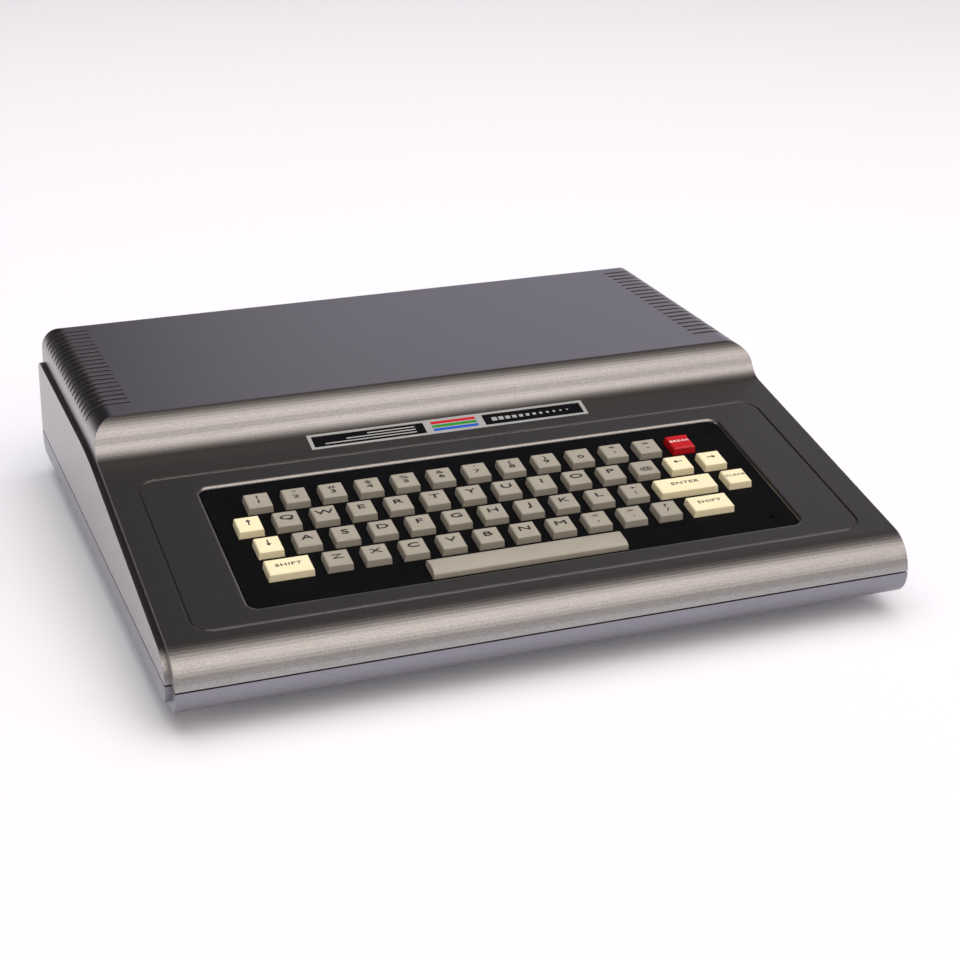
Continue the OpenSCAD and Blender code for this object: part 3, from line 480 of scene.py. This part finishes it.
# Keys with a word: body, word, column, row, height of the letters in mm
WORD_KEYS = (("key_break", "BREAK", 12, 0, 1.6), ("key_enter", "ENTER", 11.25, 2, 2.2),
             ("key_clear", "CLEAR", 12.75, 2, 1.6), ("key_shift_left", "SHIFT", 0, 3, 2.2),
             ("key_shift_right", "SHIFT", 11.5, 3, 2.2))
# Keys with an arrow: body, turn in degrees, column, row
ARROW_KEYS = (("key_up", 90, -0.5, 1), ("key_down", -90, -0.25, 2), ("key_left", 180, 11.5, 1),
              ("key_right", 0, 12.5, 1))


def key_top(column, row, up=0.0):
    """Moves the origin to the middle of a key's top, or up the deck from there."""
    return on_deck((column - MIDDLE_COLUMN) * KEY_PITCH, -row * KEY_PITCH + up, KEY_RISE + INK_LIFT)


def outward(mesh):
    """The direction that points out of a flat mesh at each vertex of its outline."""
    uses = {}
    for face in mesh.polygons:
        corners = list(face.vertices)
        for a, b in zip(corners, corners[1:] + corners[:1]):
            uses[frozenset((a, b))] = None if frozenset((a, b)) in uses else (a, b)
    sums = {}
    for edge in uses.values():
        if edge is not None:
            a, b = edge
            run = mesh.vertices[b].co - mesh.vertices[a].co
            side = Vector((run.y, -run.x)).normalized()
            for i in edge:
                sums[i] = sums.get(i, Vector((0, 0))) + side
    return {i: total.normalized() for i, total in sums.items()}


def letter_mesh(text):
    """A flat mesh of the text in the plain built-in font at size 1."""
    curve = bpy.data.curves.new("letters", "FONT")
    curve.body = text
    curve.resolution_u = CURVE_STEPS
    curve.space_character = LETTER_SPACING
    letters = bpy.data.objects.new("letters", curve)
    scene.collection.objects.link(letters)
    depsgraph = bpy.context.evaluated_depsgraph_get()
    mesh = bpy.data.meshes.new_from_object(letters.evaluated_get(depsgraph))
    bpy.data.objects.remove(letters)
    bpy.data.curves.remove(curve)
    return mesh


def lettering(text, height, stretch, matrix):
    """Bold flat letters, centred on the matrix's origin, with capitals of the given height."""
    mesh = letter_mesh(text)
    bolder = BOLDER_CROWDED if text in CROWDED_SIGNS else BOLDER
    out = outward(mesh)
    flip = 1 if mesh.polygons[0].normal.z > 0 else -1
    middle_x = (min(v.co.x for v in mesh.vertices) + max(v.co.x for v in mesh.vertices)) / 2
    scale = height / CAPITAL
    points = []
    for v in mesh.vertices:
        push = out.get(v.index, Vector((0, 0))) * bolder * flip
        x = v.co.x - middle_x + SIDE_PUSH * push.x
        y = v.co.y - CAPITAL / 2 + push.y
        points.append((x * scale * stretch, y * scale, 0))
    faces = [tuple(face.vertices)[::flip] for face in mesh.polygons]
    bpy.data.meshes.remove(mesh)
    return matrix, points, faces


def arrow(turn, matrix):
    """A flat arrow that points right before its turn in degrees."""
    tip = ARROW_LENGTH / 2
    neck = tip - ARROW_HEAD
    points = [(tip, 0, 0), (neck, ARROW_HEAD_W / 2, 0), (neck, ARROW_SHAFT_W / 2, 0),
              (-tip, ARROW_SHAFT_W / 2, 0), (-tip, -ARROW_SHAFT_W / 2, 0), (neck, -ARROW_SHAFT_W / 2, 0),
              (neck, -ARROW_HEAD_W / 2, 0)]
    faces = [(0, 1, 2, 5, 6), (2, 3, 4, 5)]
    return matrix @ Matrix.Rotation(math.radians(turn), 4, "Z"), points, faces


def add_paired_signs(name, keys, ink, body):
    """One piece for the keys that share a body: (lower sign, upper sign, column, row) for each key."""
    signs = []
    for lower, upper, column, row in keys:
        signs.append(lettering(lower, DIGIT_H, DIGIT_STRETCH, key_top(column, row, DIGIT_UP)))
        if upper:
            signs.append(lettering(upper, SHIFTED_H, DIGIT_STRETCH, key_top(column, row, SHIFTED_UP)))
    join_outlines(name, signs, ink, body)


def add_legends():
    dark = printed_ink("legend_dark", (0.012, 0.011, 0.012), 0.5, 0.1)
    light = printed_ink("legend_light", (0.75, 0.72, 0.66), 0.5, 0.05)
    digit_keys = [(str((i + 1) % 10), sign.strip(), i, 0) for i, sign in enumerate(SHIFTED_DIGITS)]
    add_paired_signs("legend_digits", digit_keys, dark, "number_keys")
    add_paired_signs("legend_signs", SIGN_KEYS, dark, "sign_keys")
    for row, letters in enumerate(LETTER_ROWS, start=1):
        for i, letter in enumerate(letters):
            top = key_top(FIRST_COLUMNS[row] + i, row, LETTER_UP)
            part = lettering(letter, LETTER_H, LETTER_STRETCH, top)
            join_outlines("legend_" + letter.lower(), [part], dark, "key_" + letter.lower())
    for body, word, column, row, height in WORD_KEYS:
        ink, slot = (light, "key_red") if body == "key_break" else (dark, "key_cream")
        part = lettering(word, height * MM, WORD_STRETCH, key_top(column, row, WORD_UP))
        join_outlines(body.replace("key_", "legend_"), [part], ink, body)
    for body, turn, column, row in ARROW_KEYS:
        part = arrow(turn, key_top(column, row, LETTER_UP))
        join_outlines(body.replace("key_", "legend_"), [part], dark, body)


# ---- badge ---------------------------------------------------------------------------

# The black prints in the plate's two sunk fields: from x to x, and both from y to y
LEFT_FIELD = (2.1 * MM - BADGE_W / 2, -14.1 * MM)
RIGHT_FIELD = (19.1 * MM, BADGE_W / 2 - 2.1 * MM)
FIELD_LOW = 1.7 * MM
FIELD_HIGH = BADGE_H - FIELD_LOW
# Undersides of the prints, measured from the plate's face
FIELD_Z = -0.28 * MM
MOTIF_Z = -0.21 * MM
STRIPE_Z = 0.005 * MM
PRINT_T = 0.06 * MM
# Silver lines in the left field, each one starting further in than the one below it
LINE_COUNT = 3
LINE_W = 0.9 * MM
LINE_START = 6 * MM
LINE_STEP = 12 * MM
LINE_END = 5 * MM
# Silver squares in the right field, which shrink from left to right
SQUARE_COUNT = 12
SQUARE_START = 6 * MM
SQUARE_PITCH = 3.8 * MM
SQUARE_HALF = 1.5 * MM
SQUARE_SHRINK = 0.09 * MM
# Stacked colour stripes between the fields, from the lowest up
STRIPES = (("blue", (0.015, 0.09, 0.50)), ("green", (0.03, 0.26, 0.03)), ("red", (0.55, 0.01, 0.02)))
STRIPE_LEFT = -10 * MM
STRIPE_RIGHT = 15 * MM
STRIPE_LOW = 2.1 * MM
STRIPE_PITCH = 3.0 * MM
STRIPE_W = 2.1 * MM


def bar(x0, x1, y0, y1, z):
    """A thin printed rectangle on the name plate, its underside at z from the plate's face."""
    return on_badge(0, 0, z), *slab([(x0, y0), (x1, y0), (x1, y1), (x0, y1)], PRINT_T)


def add_print(name, bars, ink):
    """A printed piece of the name plate, which stays with the case."""
    join_outlines(name, bars, ink, "case")


def silver_lines():
    spacing = (FIELD_HIGH - FIELD_LOW) / (LINE_COUNT + 1)
    for i in range(LINE_COUNT):
        x = LEFT_FIELD[0] + LINE_START + i * LINE_STEP
        y = FIELD_LOW + (i + 1) * spacing
        yield bar(x, LEFT_FIELD[1] - LINE_END, y - LINE_W / 2, y + LINE_W / 2, MOTIF_Z)


def silver_squares():
    for i in range(SQUARE_COUNT):
        x = RIGHT_FIELD[0] + SQUARE_START + i * SQUARE_PITCH
        half = SQUARE_HALF - i * SQUARE_SHRINK
        yield bar(x - half, x + half, BADGE_H / 2 - half, BADGE_H / 2 + half, MOTIF_Z)


def add_badge(silver):
    """A plain decorative strip: two black fields with silver motifs, and colour stripes between them."""
    black = printed_ink("badge_black", (0.004, 0.004, 0.005), 0.2, 0.1, gloss=0.3)
    fields = [bar(x0, x1, FIELD_LOW, FIELD_HIGH, FIELD_Z) for x0, x1 in (LEFT_FIELD, RIGHT_FIELD)]
    add_print("badge_fields", fields, black)
    add_print("badge_lines", [*silver_lines(), *silver_squares()], silver)
    for i, (name, colour) in enumerate(STRIPES):
        low_y = STRIPE_LOW + i * STRIPE_PITCH
        stripe = bar(STRIPE_LEFT, STRIPE_RIGHT, low_y, low_y + STRIPE_W, STRIPE_Z)
        add_print("badge_" + name, [stripe], printed_ink("badge_" + name, colour, 0.25, 0.05))


def main():
    add_camera()
    add_world()
    add_floor()
    add_lights()
    materials = make_materials()
    dress_nodes(materials)
    add_legends()
    add_badge(materials["badge_metal"])


main()
